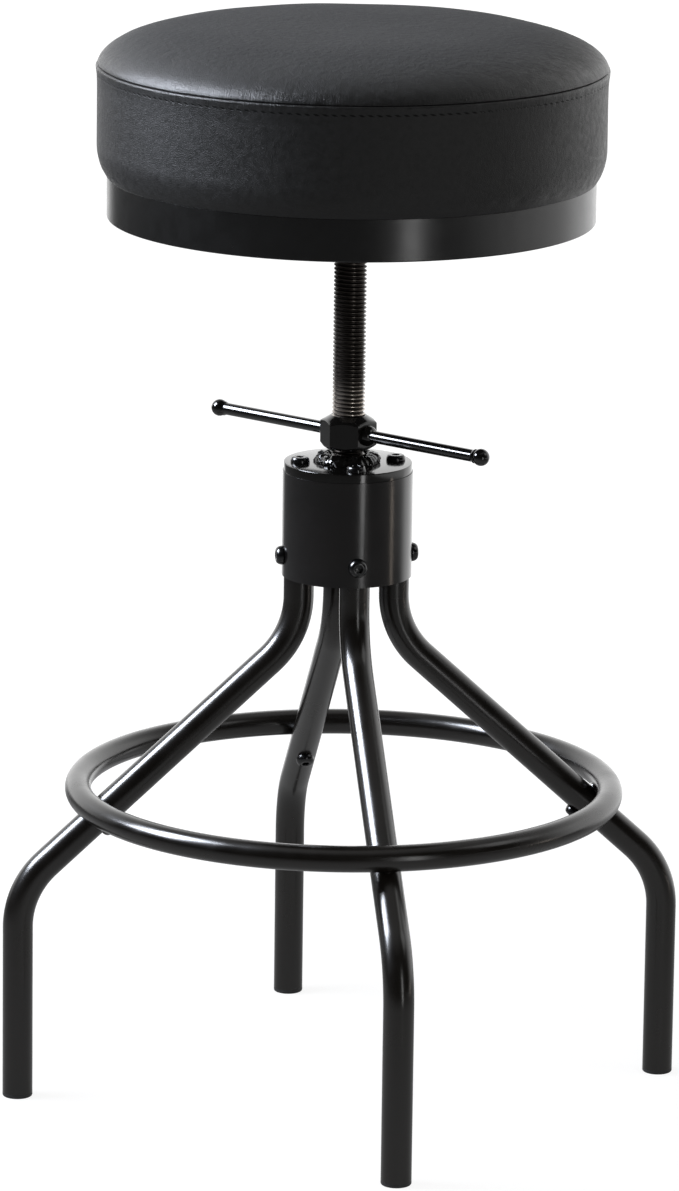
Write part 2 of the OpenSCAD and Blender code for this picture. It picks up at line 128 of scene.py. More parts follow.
def end_tree(tree, shape, finish):
    """Ends a geometry tree: smooth real meshes in their finish."""
    smooth = add_node(tree, "GeometryNodeSetShadeSmooth", {}, {"Geometry": shape})
    real = add_node(tree, "GeometryNodeRealizeInstances", {}, {"Geometry": smooth})
    dressed = add_node(tree, "GeometryNodeSetMaterial", {"Material": finish}, {"Geometry": real})
    add_node(tree, "NodeGroupOutput", {}, {"Geometry": dressed})


sharp_edge = math.radians(38)


def run_tree(name, tree, sizes, path=()):
    """A plain mesh made by a geometry tree from these sizes, along a path of points if it has one."""
    start = bpy.data.meshes.new(name)
    start.from_pydata(path, [(i, i + 1) for i in range(len(path) - 1)], [])
    piece = bpy.data.objects.new(name, start)
    scene.collection.objects.link(piece)
    modifier = piece.modifiers.new("build", "NODES")
    modifier.node_group = tree
    for socket in tree.interface.items_tree:
        if socket.in_out == "INPUT" and socket.name in sizes:
            modifier[socket.identifier] = sizes[socket.name]
    built = piece.evaluated_get(bpy.context.evaluated_depsgraph_get())
    mesh = bpy.data.meshes.new_from_object(built)
    piece.modifiers.remove(modifier)
    piece.data = mesh
    mesh.name = name
    mesh.set_sharp_from_angle(angle=sharp_edge)
    return piece


bent_tube, size = start_tree("bent tube", {"Tube radius": "Float", "Bend radius": "Float"})
line = add_node(bent_tube, "GeometryNodeMeshToCurve", {}, {"Mesh": size["Geometry"]})
bends = add_node(bent_tube, "GeometryNodeFilletCurve", {"mode": "POLY", "Count": 20},
                 {"Curve": line, "Radius": size["Bend radius"]})
section = add_node(bent_tube, "GeometryNodeCurvePrimitiveCircle", {"Resolution": 48},
                   {"Radius": size["Tube radius"]})
tube = add_node(bent_tube, "GeometryNodeCurveToMesh", {"Fill Caps": True},
                {"Curve": bends, "Profile Curve": section})
end_tree(bent_tube, tube, gloss_enamel)

leg_low, leg_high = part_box("leg_right")
tube_radius = leg_high.y
leg_top_reach = leg_low.x + tube_radius
foot_reach = leg_high.x - tube_radius
knee_height = 0.3435
ankle_height = 0.157
bend_radius = 0.064
slope = math.atan2(knee_height - ankle_height, foot_reach - leg_top_reach)
for name, turn in (("right", 0), ("back", 90), ("left", 180), ("front", 270)):
    direction = Vector((math.cos(math.radians(turn)), math.sin(math.radians(turn)), 0))
    corners = [direction * reach + Vector((0, 0, height)) for reach, height in (
        (leg_top_reach, leg_high.z), (leg_top_reach, knee_height),
        (foot_reach, ankle_height), (foot_reach, leg_low.z))]
    leg = run_tree("leg_tube_" + name, bent_tube,
                   {"Tube radius": tube_radius, "Bend radius": bend_radius}, corners)
    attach(leg, "base")
    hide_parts("leg_" + name)


# Feet: moulded plastic plugs pushed into the ends of the legs, with a flat flange to stand on.
# The solids have their true shape, so they only take the plastic's finish.

# Moulded polyethylene: dull black, with the fine spark texture of its mould, drawn at 0.8 mm so that
# it shows.
moulded_plastic, tree, shader, place = start_finish(
    "moulded_polyethylene", {"Base Color": linear("19191a"), "IOR": 1.5})
spark = add_node(tree, "ShaderNodeTexNoise", {"Scale": 1 / 0.0008, "Detail": 2.0}, {"Vector": place})
vary_finish(tree, shader, spark, roughness=(0.42, 0.62), relief=(0.2, 0.0002))


def dress(finish, *names):
    """Gives CAD nodes whose shape is right their finish."""
    for name in names:
        for slot in nodes[name].material_slots:
            slot.material = finish


dress(moulded_plastic, "foot_front", "foot_right", "foot_back", "foot_left")


# Foot ring: 19 mm tube rolled to a circle, butt welded, ground flush and stoved with the legs.
# It lies on the sloping parts of the legs, and a bolt from below each leg holds it.

def tube_ring(tree, radius, tube_radius, steps, section_steps):
    """A closed ring of tube about Z, in a geometry tree."""
    circle = add_node(tree, "GeometryNodeCurvePrimitiveCircle", {"Resolution": steps}, {"Radius": radius})
    section = add_node(tree, "GeometryNodeCurvePrimitiveCircle", {"Resolution": section_steps},
                       {"Radius": tube_radius})
    return add_node(tree, "GeometryNodeCurveToMesh", {}, {"Curve": circle, "Profile Curve": section})


def lifted(tree, shape, height, **links):
    """A shape moved up by a height, in a geometry tree."""
    lift = add_node(tree, "ShaderNodeCombineXYZ", {}, {"Z": height})
    return add_node(tree, "GeometryNodeTransform", {}, {"Geometry": shape, "Translation": lift, **links})


ring_tree, size = start_tree("foot ring", {
    "Ring radius": "Float", "Ring height": "Float", "Tube radius": "Float"})
tube = tube_ring(ring_tree, size["Ring radius"], size["Tube radius"], steps=200, section_steps=44)
end_tree(ring_tree, lifted(ring_tree, tube, size["Ring height"]), gloss_enamel)

ring_low, ring_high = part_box("foot_ring")
ring_tube_radius = 0.0095
ring_height = (ring_low.z + ring_high.z) / 2
ring_radius = ring_high.x - ring_tube_radius
foot_ring = run_tree("foot_ring_tube", ring_tree, {
    "Ring radius": ring_radius, "Ring height": ring_height, "Tube radius": ring_tube_radius})
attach(foot_ring, "base")
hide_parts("foot_ring")


# Fasteners of the base: black-coated button-head screws with hexagon sockets. Four stand in the
# hub cap, four go through the hub tube into the legs, and four go up through the legs into the ring.

def turned_piece(name, rings, finish, turn=Matrix()):
    """A closed piece from rings of points, each [(x, y, z), ...] of one length, or one point at a pole.

    Where the last ring is the first again, the mesh closes on itself.
    """
    points, starts, faces = [], [], []
    for k, ring in enumerate(rings):
        if k > 0 and ring == rings[0]:
            starts.append(0)
        else:
            starts.append(len(points))
            points.extend(ring)
    for k in range(len(rings) - 1):
        a, b = starts[k], starts[k + 1]
        count = max(len(rings[k]), len(rings[k + 1]))
        for i in range(count):
            j = (i + 1) % count
            if len(rings[k]) == 1:
                faces.append((a, b + j, b + i))
            elif len(rings[k + 1]) == 1:
                faces.append((a + i, a + j, b))
            else:
                faces.append((a + i, a + j, b + j, b + i))
    mesh = bpy.data.meshes.new(name)
    mesh.from_pydata([turn @ Vector(p) for p in points], [], faces)
    mesh.materials.append(finish)
    mesh.shade_smooth()
    mesh.set_sharp_from_angle(angle=sharp_edge)
    piece = bpy.data.objects.new(name, mesh)
    scene.collection.objects.link(piece)
    return piece


def round_ring(radius, z, steps=48):
    """A ring of points about Z, or the one point on the axis."""
    if radius == 0:
        return [(0, 0, z)]
    return [(radius * math.cos(math.tau * i / steps), radius * math.sin(math.tau * i / steps), z)
            for i in range(steps)]


def hexagon_ring(across_flats, z, steps=48):
    """A ring of points on a hexagon about Z."""
    ring = []
    for i in range(steps):
        a = math.tau * i / steps
        radius = across_flats / 2 / math.cos(math.remainder(a, math.tau / 6))
        ring.append((radius * math.cos(a), radius * math.sin(a), z))
    return ring


# Black-coated steel: heat-blackened and lacquered, glossy where it is round, with faint smears.
black_screw_steel, tree, shader, place = start_finish(
    "black_coated_steel", {"Base Color": linear("0b0b0c"), "IOR": 1.5})
smear = add_node(tree, "ShaderNodeTexNoise", {"Scale": 1 / 0.004, "Detail": 3.0}, {"Vector": place})
vary_finish(tree, shader, smear, roughness=(0.12, 0.3))


def button_bolt(name, length, finish, head_height=0.005, crown_radius=0.0038):
    """A button-head bolt along -Z with its head on z = 0, as a hidden master."""
    head_radius = 0.007
    rim_share = 0.06
    socket_width = 0.005
    socket_depth = 0.0026
    drill_point = 0.0006
    shank_radius = 0.004
    tip_chamfer = 0.0008
    floor = head_height - socket_depth
    rings = [
        round_ring(0, floor - drill_point),
        hexagon_ring(socket_width * 0.97, floor),
        hexagon_ring(socket_width, head_height - 0.0004),
        hexagon_ring(socket_width + 0.0005, head_height - 0.0001),
        round_ring(crown_radius * 0.9, head_height)]
    for i in range(1, 10):
        a = math.radians(90 * (1 - i / 9))
        rings.append(round_ring(head_radius - (head_radius - crown_radius) * (1 - math.cos(a)),
                                head_height * (rim_share + (1 - rim_share) * math.sin(a))))
    rings += [
        round_ring(head_radius - 0.0003, 0),
        round_ring(shank_radius, 0),
        round_ring(shank_radius, tip_chamfer - length),
        round_ring(shank_radius - tip_chamfer, -length),
        round_ring(0, -length)]
    return turned_piece(name, rings, finish)


def stand_round(tree, size, piece, **turn):
    """Stands a piece on each point of a circle at a height, turned to face outwards."""
    spots = add_node(tree, "GeometryNodeMeshCircle", {},
                     {"Vertices": size["Count"], "Radius": size["Circle radius"]})
    index = add_node(tree, "GeometryNodeInputIndex")
    step = add_node(tree, "ShaderNodeMath", {"operation": "DIVIDE", 0: math.tau}, {1: size["Count"]})
    angle = add_node(tree, "ShaderNodeMath", {"operation": "MULTIPLY"}, {0: index, 1: step})
    facing = add_node(tree, "ShaderNodeCombineXYZ", {}, {"Z": angle, **turn})
    return add_node(tree, "GeometryNodeInstanceOnPoints", {}, {
        "Points": lifted(tree, spots, size["Height"]), "Instance": piece, "Rotation": facing})


bolt_circle, size = start_tree("bolt circle", {
    "Bolt": "Object", "Count": "Int", "Circle radius": "Float", "Height": "Float", "Lean": "Float"})
bolt = add_node(bolt_circle, "GeometryNodeObjectInfo", {}, {"Object": size["Bolt"]})
bolts = stand_round(bolt_circle, size, bolt.outputs["Geometry"], Y=size["Lean"])
end_tree(bolt_circle, bolts, black_screw_steel)


def bolt_ring(name, node, length, radius, height, lean, body="base", finish=black_screw_steel, **head):
    """Four bolts about Z that stand for a CAD node, each leaning outwards from Z by an angle."""
    master = button_bolt(name + "_master", length, finish, **head)
    piece = run_tree(name, bolt_circle, {
        "Bolt": master, "Count": 4, "Circle radius": radius, "Height": height, "Lean": lean})
    bpy.data.objects.remove(master)
    for slot in piece.material_slots:
        slot.material = finish
    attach(piece, body)
    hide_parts(node)
    return piece


hub_low, hub_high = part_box("hub_tube")
cap_low, cap_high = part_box("hub_cap")
hub_screw_rise = 0.015
ring_bolt_drop = 2 * tube_radius + ring_tube_radius
cap_bolts = bolt_ring("cap_button_bolts", "cap_bolts", length=0.022, radius=leg_top_reach,
                      height=cap_high.z, lean=0.0, head_height=0.0042, crown_radius=0.0054)
hub_screws = bolt_ring("hub_button_screws", "hub_screws", length=0.013, radius=hub_high.x,
                       height=hub_low.z + hub_screw_rise, lean=math.radians(90))
ring_bolts = bolt_ring("ring_button_bolts", "ring_bolts", length=0.0325,
                       radius=ring_radius - ring_bolt_drop * math.sin(slope),
                       height=ring_height - ring_bolt_drop * math.cos(slope), lean=slope + math.pi)

# Zinc-plated steel, for the plugs and inserts in the tubes: pale, satin and slightly blotched.
zinc_steel, tree, shader, place = start_finish("zinc_plated_steel", {"Metallic": 1.0})
blotch = add_node(tree, "ShaderNodeTexNoise", {"Scale": 1 / 0.005, "Detail": 3.0}, {"Vector": place})
vary_finish(tree, shader, blotch, colours=("a9a9a8", "c4c4c2"), roughness=(0.25, 0.45))
dress(zinc_steel, "leg_top_plugs", "leg_inserts", "ring_inserts", "stop_bolt", "stop_washer", "tee_nuts",
      "board_screws")


# Hub: a thin enamelled steel tube pressed over the leg tops, under a thick turned and lacquered cap.
# The cap carries the threaded bush, welded in with a thick uneven bead.

# Hub enamel: sprayed thinner than on the legs, so it is only half glossy, browned where it was rubbed.
hub_enamel, tree, shader, place = start_finish("hub_enamel", {"IOR": 1.5})
patch = add_node(tree, "ShaderNodeTexNoise", {"Scale": 1 / 0.02, "Detail": 5.0}, {"Vector": place})
vary_finish(tree, shader, patch, colours=("121212", "1a1615"), roughness=(0.14, 0.26),
            relief=(0.03, 0.0003))
dress(hub_enamel, "hub_tube")

# Lacquer of the turned parts: a thick wet-looking coat with few soft smears, on the hub cap with its
# bush and weld, and on the lock nut and its handle.
turned_lacquer, tree, shader, place = start_finish(
    "turned_lacquer", {"Base Color": linear("121110"), "IOR": 1.5})
wipe = add_node(tree, "ShaderNodeTexNoise", {"Scale": 1 / 0.01, "Detail": 3.0}, {"Vector": place})
vary_finish(tree, shader, wipe, roughness=(0.08, 0.18), relief=(0.02, 0.0003))
dress(turned_lacquer, "threaded_bush")

bush_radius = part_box("threaded_bush")[1].x
cap_radius = cap_high.x
rim_rounding = 0.0006
turned_steps = 144
cap_outline = [(bush_radius, cap_low.z), (cap_radius, cap_low.z)]
for i in range(6):
    a = math.radians(90 * i / 5)
    cap_outline.append((cap_radius - rim_rounding * (1 - math.cos(a)),
                        cap_high.z - rim_rounding * (1 - math.sin(a))))
cap_outline += [(bush_radius, cap_high.z), (bush_radius, cap_low.z)]
cap_rings = [round_ring(radius, z, turned_steps) for radius, z in cap_outline]
hub_cap = turned_piece("hub_cap_plate", cap_rings, turned_lacquer)
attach(hub_cap, "base")
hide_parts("hub_cap")

weld_tree, size = start_tree("weld bead", {
    "Bead radius": "Float", "Bead height": "Float", "Bead width": "Float", "Squash": "Float",
    "Lump": "Float", "Lump size": "Float"})
bead = tube_ring(weld_tree, size["Bead radius"], size["Bead width"], steps=180, section_steps=20)
flatter = add_node(weld_tree, "ShaderNodeCombineXYZ", {"X": 1.0, "Y": 1.0}, {"Z": size["Squash"]})
normal = add_node(weld_tree, "GeometryNodeInputNormal")
fineness = add_node(weld_tree, "ShaderNodeMath", {"operation": "DIVIDE", 0: 1.0}, {1: size["Lump size"]})
lumps = add_node(weld_tree, "ShaderNodeTexNoise", {"Detail": 2.0, "Roughness": 0.6}, {"Scale": fineness})
centred = add_node(weld_tree, "ShaderNodeMath", {"operation": "SUBTRACT", 1: 0.5}, {0: lumps})
proud = add_node(weld_tree, "ShaderNodeMath", {"operation": "MULTIPLY"}, {0: centred, 1: size["Lump"]})
shift = add_node(weld_tree, "ShaderNodeVectorMath", {"operation": "SCALE"}, {0: normal, "Scale": proud})
lumpy = add_node(weld_tree, "GeometryNodeSetPosition", {},
                 {"Geometry": lifted(weld_tree, bead, size["Bead height"], Scale=flatter),
                  "Offset": shift})
end_tree(weld_tree, lumpy, turned_lacquer)

bush_weld = run_tree("bush_weld_bead", weld_tree, {
    "Bead radius": bush_radius + 0.0008, "Bead height": cap_high.z + 0.001, "Bead width": 0.0056,
    "Squash": 0.9, "Lump": 0.0075, "Lump size": 0.006})
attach(bush_weld, "base")
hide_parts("bush_weld")


# Lift screw: an M24 steel bar with a rolled thread of 3 mm pitch over its whole length, bare and oiled.
# Its top is welded into a flange under the seat, and it turns in the bush of the hub.

screw_low, screw_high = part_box("lift_screw")
nut_low, nut_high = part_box("lock_nut")
core_radius = 0.01016
thread_pitch = 0.003
thread_start = 0.0015
plain_length = 0.005

# Oiled steel: nearly black from old oil in the thread. The crests are rubbed bright for some 25 mm
# above the lock nut, where hands and the nut wipe them. That band is also brightened as a painted
# highlight, and the crests farther up are painted dark as painted shade under the seat.
oiled_steel, tree, shader, place = start_finish("oiled_rolled_steel", {"Metallic": 1.0})
oil = add_node(tree, "ShaderNodeTexNoise", {"Scale": 1 / 0.008, "Detail": 4.0}, {"Vector": place})
parts = add_node(tree, "ShaderNodeSeparateXYZ", {}, {"Vector": place}).outputs
flat_place = add_node(tree, "ShaderNodeCombineXYZ", {}, {"X": parts["X"], "Y": parts["Y"]})
distance = add_node(tree, "ShaderNodeVectorMath", {"operation": "LENGTH"}, {0: flat_place})
crest = add_node(tree, "ShaderNodeMapRange", {"From Min": 0.0104, "From Max": 0.0119},
                 {"Value": distance})
off_middle = add_node(tree, "ShaderNodeMath", {"operation": "SUBTRACT", 1: nut_high.z + 0.004},
                      {0: parts["Z"]})
off_bright_band = add_node(tree, "ShaderNodeMath", {"operation": "ABSOLUTE"}, {0: off_middle})
# Painted light: crests are brightest in the band over the nut, as wear and painted highlight, and are
# painted darker away from it as shade.
wear_band_and_shade = add_node(tree, "ShaderNodeMapRange",
                 {"From Min": 0.026, "From Max": 0.01, "To Min": 0.16, "To Max": 1.7},
                 {"Value": off_bright_band})
oil_and_shade = add_node(tree, "ShaderNodeMath", {"operation": "MULTIPLY"}, {0: wear_band_and_shade, 1: oil})
rubbed_and_shaded = add_node(tree, "ShaderNodeMath", {"operation": "MULTIPLY"}, {0: crest, 1: oil_and_shade})
vary_finish(tree, shader, rubbed_and_shaded, colours=("393532", "bdb5ac"))
vary_finish(tree, shader, crest, roughness=(0.5, 0.28))

thread_tree, size = start_tree("rolled thread", {
    "Core radius": "Float", "Crest radius": "Float", "Pitch": "Float", "Turns": "Float",
    "Bottom": "Float", "Top": "Float"})
rise = add_node(thread_tree, "ShaderNodeMath", {"operation": "MULTIPLY"},
                {0: size["Pitch"], 1: size["Turns"]})
helix = add_node(thread_tree, "GeometryNodeCurveSpiral", {"Resolution": 48},
                 {"Rotations": size["Turns"], "Start Radius": size["Core radius"],
                  "End Radius": size["Core radius"], "Height": rise})
upright = add_node(thread_tree, "GeometryNodeSetCurveNormal", {"mode": "Z_UP"}, {"Curve": helix})
depth = add_node(thread_tree, "ShaderNodeMath", {"operation": "SUBTRACT"},
                 {0: size["Crest radius"], 1: size["Core radius"]})
root = add_node(thread_tree, "ShaderNodeMath", {"operation": "MULTIPLY", 1: 0.86}, {0: size["Pitch"]})
land = add_node(thread_tree, "ShaderNodeMath", {"operation": "MULTIPLY", 1: 0.16}, {0: size["Pitch"]})
ridge = add_node(thread_tree, "GeometryNodeCurvePrimitiveQuadrilateral",
                 {"mode": "TRAPEZOID", "Offset": 0.0},
                 {"Height": depth, "Bottom Width": root, "Top Width": land})
half = add_node(thread_tree, "ShaderNodeMath", {"operation": "MULTIPLY", 1: -0.49}, {0: depth})
out = add_node(thread_tree, "ShaderNodeCombineXYZ", {}, {"X": half})
turned = add_node(thread_tree, "GeometryNodeTransform", {"Rotation": (0, 0, math.pi / 2)},
                  {"Geometry": ridge, "Translation": out})
thread = add_node(thread_tree, "GeometryNodeCurveToMesh", {"Fill Caps": True},
                  {"Curve": upright, "Profile Curve": turned})
full = add_node(thread_tree, "ShaderNodeMath", {"operation": "SUBTRACT"},
                {0: size["Top"], 1: size["Bottom"]})
core = add_node(thread_tree, "GeometryNodeMeshCylinder", {"Vertices": 64, "Side Segments": 1},
                {"Radius": size["Core radius"], "Depth": full})
middle = add_node(thread_tree, "ShaderNodeMath", {"operation": "MULTIPLY_ADD", 1: 0.5},
                  {0: full, 2: size["Bottom"]})
joined = add_node(thread_tree, "GeometryNodeJoinGeometry")
for shape, height in ((thread, size["Bottom"]), (core, middle)):
    connect(thread_tree, joined, {"Geometry": lifted(thread_tree, shape, height)})
end_tree(thread_tree, joined, oiled_steel)

lift_screw = run_tree("lift_screw_thread", thread_tree, {
    "Core radius": core_radius, "Crest radius": screw_high.x, "Pitch": thread_pitch,
    "Turns": (screw_high.z - screw_low.z - plain_length) / thread_pitch,
    "Bottom": screw_low.z + thread_start, "Top": screw_high.z})
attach(lift_screw, "seat")
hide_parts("lift_screw")


# Lock nut: a hexagon nut with coned ends, turned from bar, lacquered black. A rod with a domed boss at
# its root screws into each of two opposite faces, with a ball pressed on its end, to turn it by hand.
handle_angle = math.radians(-50)
nut_half_width = 0.018
nut_face_radius = 0.013
nut_bore_radius = 0.01205
nut_cone = math.tan(math.radians(31))
nut_rounding = 0.0009
nut_rows = 40


def nut_radius(a, z):
    """Distance of the nut's surface from the axis, its edges rounded by blending flats and cones."""
    flat = nut_half_width / math.cos(math.remainder(a - handle_angle, math.tau / 6))
    end = min(z - nut_low.z, nut_high.z - z)
    cone = nut_face_radius + end / nut_cone
    mix = max(nut_rounding - abs(flat - cone), 0) / nut_rounding
    return min(flat, cone) - mix * mix * nut_rounding / 4


nut_rings = [round_ring(nut_bore_radius, nut_low.z, turned_steps)]
for i in range(nut_rows + 1):
    z = nut_low.z + (nut_high.z - nut_low.z) * (1 - math.cos(math.pi * i / nut_rows)) / 2
    nut_rings.append([(nut_radius(a, z) * math.cos(a), nut_radius(a, z) * math.sin(a), z)
                      for a in (math.tau * k / turned_steps for k in range(turned_steps))])
nut_rings += [round_ring(nut_bore_radius, z, turned_steps) for z in (nut_high.z, nut_low.z)]
nut = turned_piece("lock_nut_hexagon", nut_rings, turned_lacquer)
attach(nut, "lock")
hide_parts("lock_nut")

handle_height = (nut_low.z + nut_high.z) / 2
rod_radius = 0.0045
rod_start = 0.0135
rod_end = 0.117
boss_radius = 0.0076
boss_start = 0.0178
boss_edge = 0.0004
dome_start = 0.0188
dome_length = 0.0048
neck_start = 0.1165
neck_length = 0.0022
neck_flare = 0.0007
ball_radius = 0.00625
ball_reach = 0.124
rod_outline = [(0, rod_start), (rod_radius, rod_start), (rod_radius, boss_start),
               (boss_radius - boss_edge, boss_start), (boss_radius, boss_start + boss_edge)]
for i in range(13):
    t = i / 12
    rod_outline.append((rod_radius + (boss_radius - rod_radius) * (1 - t ** 2) ** 0.8,
                        dome_start + dome_length * t))
rod_outline += [(rod_radius, rod_end), (0, rod_end)]
ball_outline = [(0, neck_start), (rod_radius + 0.00005, neck_start)]
ball_outline += [(rod_radius + neck_flare * t * t, neck_start + neck_length * t) for t in (0.4, 0.7, 1)]
for i in range(1, 25):
    a = math.radians(140 - 140 * i / 24)
    ball_outline.append((ball_radius * math.sin(a), ball_reach + ball_radius * math.cos(a)))
for side, turn in (("right", handle_angle), ("left", handle_angle + math.pi)):
    along = (Matrix.Translation((0, 0, handle_height)) @ Matrix.Rotation(turn, 4, "Z")
             @ Matrix.Rotation(math.pi / 2, 4, "Y"))
    rod = turned_piece("handle_bar_" + side, [round_ring(*spot) for spot in rod_outline],
                       turned_lacquer, along)
    ball = turned_piece("handle_knob_" + side, [round_ring(*spot) for spot in ball_outline],
                        turned_lacquer, along)
    for piece, node in ((rod, "handle_rod_" + side), (ball, "handle_ball_" + side)):
        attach(piece, "lock")
        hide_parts(node)


# Seat frame: a rolled steel band with a sheet pan welded inside it, on the flange of the lift screw.
# The band shows round the cushion's foot, and the rest shows only from below.

# Band enamel: half glossy and even, with a soft grain of overspray.
band_enamel, tree, shader, place = start_finish("satin_band_enamel", {"IOR": 1.5})
spray = add_node(tree, "ShaderNodeTexNoise", {"Scale": 1 / 0.012, "Detail": 5.0}, {"Vector": place})
vary_finish(tree, shader, spray, colours=("0d0d0d", "151515"), roughness=(0.2, 0.3),
            relief=(0.06, 0.0003))
dress(band_enamel, "seat_band", "seat_pan", "screw_flange")

flange_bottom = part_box("screw_flange")[0].z
flange_weld = run_tree("flange_weld_bead", weld_tree, {
    "Bead radius": screw_high.x + 0.0018, "Bead height": flange_bottom - 0.0008, "Bead width": 0.0028,
    "Squash": 1.0, "Lump": 0.003, "Lump size": 0.005})
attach(flange_weld, "seat")
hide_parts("flange_weld")
flange_bolts = bolt_ring("flange_button_bolts", "flange_bolts", length=0.0202, radius=0.04,
                         height=flange_bottom, lean=math.pi, body="seat", finish=zinc_steel)


# Board: birch plywood, round, screwed and bolted to the pan. The foam is glued to it and the cover's
# hem is clamped under it, so it never shows.

# Birch plywood: pale, with long grain lines about 2 mm apart.
plywood, tree, shader, place = start_finish("birch_plywood", {"Roughness": 0.6})
stretch = add_node(tree, "ShaderNodeMapping", {"Scale": (30.0, 500.0, 500.0)}, {"Vector": place})
grain = add_node(tree, "ShaderNodeTexNoise", {"Scale": 1.0, "Detail": 4.0}, {"Vector": stretch})
vary_finish(tree, shader, grain, colours=("b48a58", "d8b98a"))
dress(plywood, "seat_board")


# Cushion: firm foam under a leatherette cover, sewn from a round top panel and a side panel that is
# pulled down over the band and round under the board. The seam shows as a crease with a fold under
# it, and a line of topstitching runs 6.5 mm below.
seam_corner, top_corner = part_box("cover_top")
board_low, board_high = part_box("seat_board")
side_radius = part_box("cover_side")[1].x
seam_height = seam_corner.z
crown_rise = top_corner.z - seam_height
crown_flatness = 4.4
shoulder_fullness = 1.7
roll_radius = 0.0405
roll_height = 0.70353
roll_end = 34.0
hem_radius = 0.1735
hem_inner = 0.1555
hem_bottom = board_low.z - 0.0012
board_edge = board_high.x + 0.0003
stitch_drop = 0.0065
seam_bottom = seam_height - stitch_drop - 0.003
seam_step = 0.0003
crown_steps = 60
seam_rows = 9
side_rows = 14
roll_rows = 18


def crown_height(reach):
    """Height of the crown at a share of the cushion's radius."""
    return seam_height + crown_rise * (1 - reach ** crown_flatness) ** (1 / shoulder_fullness)


def crown_reach(height):
    """The share of the cushion's radius at which the crown has this height."""
    return (1 - ((height - seam_height) / crown_rise) ** shoulder_fullness) ** (1 / crown_flatness)


outline = []
for i in range(crown_steps):
    reach = math.sin(math.radians(90 * i / crown_steps))
    if crown_height(reach) > seam_height + (seam_rows + 0.5) * seam_step:
        outline.append((side_radius * reach, crown_height(reach)))
for i in range(seam_rows, -1, -1):
    height = seam_height + i * seam_step
    outline.append((side_radius * crown_reach(height), height))
seam_row = len(outline) - 1
fine_steps = round((seam_height - seam_bottom) / seam_step)
outline += [(side_radius, seam_height - i * seam_step) for i in range(1, fine_steps)]
outline += [(side_radius, seam_bottom + (roll_height - seam_bottom) * i / side_rows)
            for i in range(side_rows)]
for i in range(roll_rows + 1):
    a = math.radians(-roll_end * i / roll_rows)
    outline.append((side_radius - roll_radius * (1 - math.cos(a)),
                    roll_height + roll_radius * math.sin(a)))
free_rows = len(outline)
outline += [(hem_radius + 0.0006, board_high.z - 0.0036), (hem_radius, board_high.z - 0.005),
            (hem_radius, hem_bottom), (hem_inner, hem_bottom), (hem_inner, board_low.z),
            (board_edge, board_low.z), (board_edge, board_high.z), (0, board_high.z)]


def seam_relief(z):
    """How far the cover stands out at this height: a crease, and the fold that swells under it."""
    above = z - seam_height
    below = max(-above, 0)
    crease = -0.0009 * math.exp(-(above / 0.00035) ** 2)
    fold = 0.0022 * (1 - math.exp(-below / 0.0015)) * math.exp(-below / 0.0045)
    return crease + fold


# Slack of the cover, from a cloth simulation: a sheet with the cover's form, 0.3 % larger and sewn
# down at the seam and at both ends, is blown out by the foam. How far it then differs round the
# seat is kept up to a limit, as the foam holds the rest of its form. It fills the crown better than
# the side, so the crown keeps a quarter of that.
lengths = [0.0]
for near, far in zip(outline, outline[1:free_rows]):
    lengths.append(lengths[-1] + math.dist(near, far))
sheet_step = 0.004
sheet_count = 288
sheet_growth = 0.003
side_limit = 0.0004
crown_limit = side_limit / 4
crown_rows = 10
sheet_start = lengths[seam_row] - crown_rows * sheet_step
sheet_rows = int((lengths[-1] - sheet_start) / sheet_step) + 1


def outline_at(length):
    """Radius and height of the outline, and the way out of it, at a length from the crown's middle."""
    i = min(max(bisect.bisect_right(lengths, length), 1), len(lengths) - 1)
    near, far = Vector(outline[i - 1]), Vector(outline[i])
    along = (far - near).normalized()
    share = (length - lengths[i - 1]) / (lengths[i] - lengths[i - 1])
    return near.lerp(far, share), Vector((-along.y, along.x))


def simulated_slack():
    """How far the sheet stands out from the foam's form, by row and by column round the seat."""
    rows = [outline_at(sheet_start + row * sheet_step) for row in range(sheet_rows)]
    points = []
    for spot, out in rows:
        for k in range(sheet_count):
            a = math.tau * k / sheet_count
            point = Vector((spot.x * math.cos(a), spot.x * math.sin(a), spot.y))
            points.append(point * (1 + 0.0003 * noise.noise(point * 150.0)))
    faces = [(row * sheet_count + k, (row + 1) * sheet_count + k,
              (row + 1) * sheet_count + (k + 1) % sheet_count, row * sheet_count + (k + 1) % sheet_count)
             for row in range(sheet_rows - 1) for k in range(sheet_count)]
    mesh = bpy.data.meshes.new("cover_sheet")
    mesh.from_pydata(points, [], faces)
    sheet = bpy.data.objects.new("cover_sheet", mesh)
    scene.collection.objects.link(sheet)
    sewn = sheet.vertex_groups.new(name="sewn")
    for row in (0, crown_rows, sheet_rows - 1):
        sewn.add(range(row * sheet_count, (row + 1) * sheet_count), 1.0, "REPLACE")
    cloth = sheet.modifiers.new("cloth", "CLOTH").settings
    cloth.quality = 6
    cloth.mass = 0.3
    cloth.tension_stiffness = 20
    cloth.compression_stiffness = 20
    cloth.shear_stiffness = 8
    cloth.bending_stiffness = 2
    cloth.shrink_min = -sheet_growth
    cloth.use_pressure = True
    cloth.uniform_pressure_force = 4
    cloth.vertex_group_mass = "sewn"
    cloth.effector_weights.gravity = 0
    for frame_number in range(1, 21):
        scene.frame_set(frame_number)
    blown = bpy.data.meshes.new_from_object(sheet.evaluated_get(bpy.context.evaluated_depsgraph_get()))
    slack = []
    for row, (spot, out) in enumerate(rows):
        proud = []
        for k in range(sheet_count):
            point = blown.vertices[row * sheet_count + k].co
            proud.append((point.xy.length - spot.x) * out.x + (point.z - spot.y) * out.y)
        mean = sum(proud) / sheet_count
        limit = side_limit if row > crown_rows else crown_limit
        slack.append([min(max(p - mean, -limit), limit) for p in proud])
    bpy.data.objects.remove(sheet)
    scene.frame_set(1)
    return slack


slack = simulated_slack()


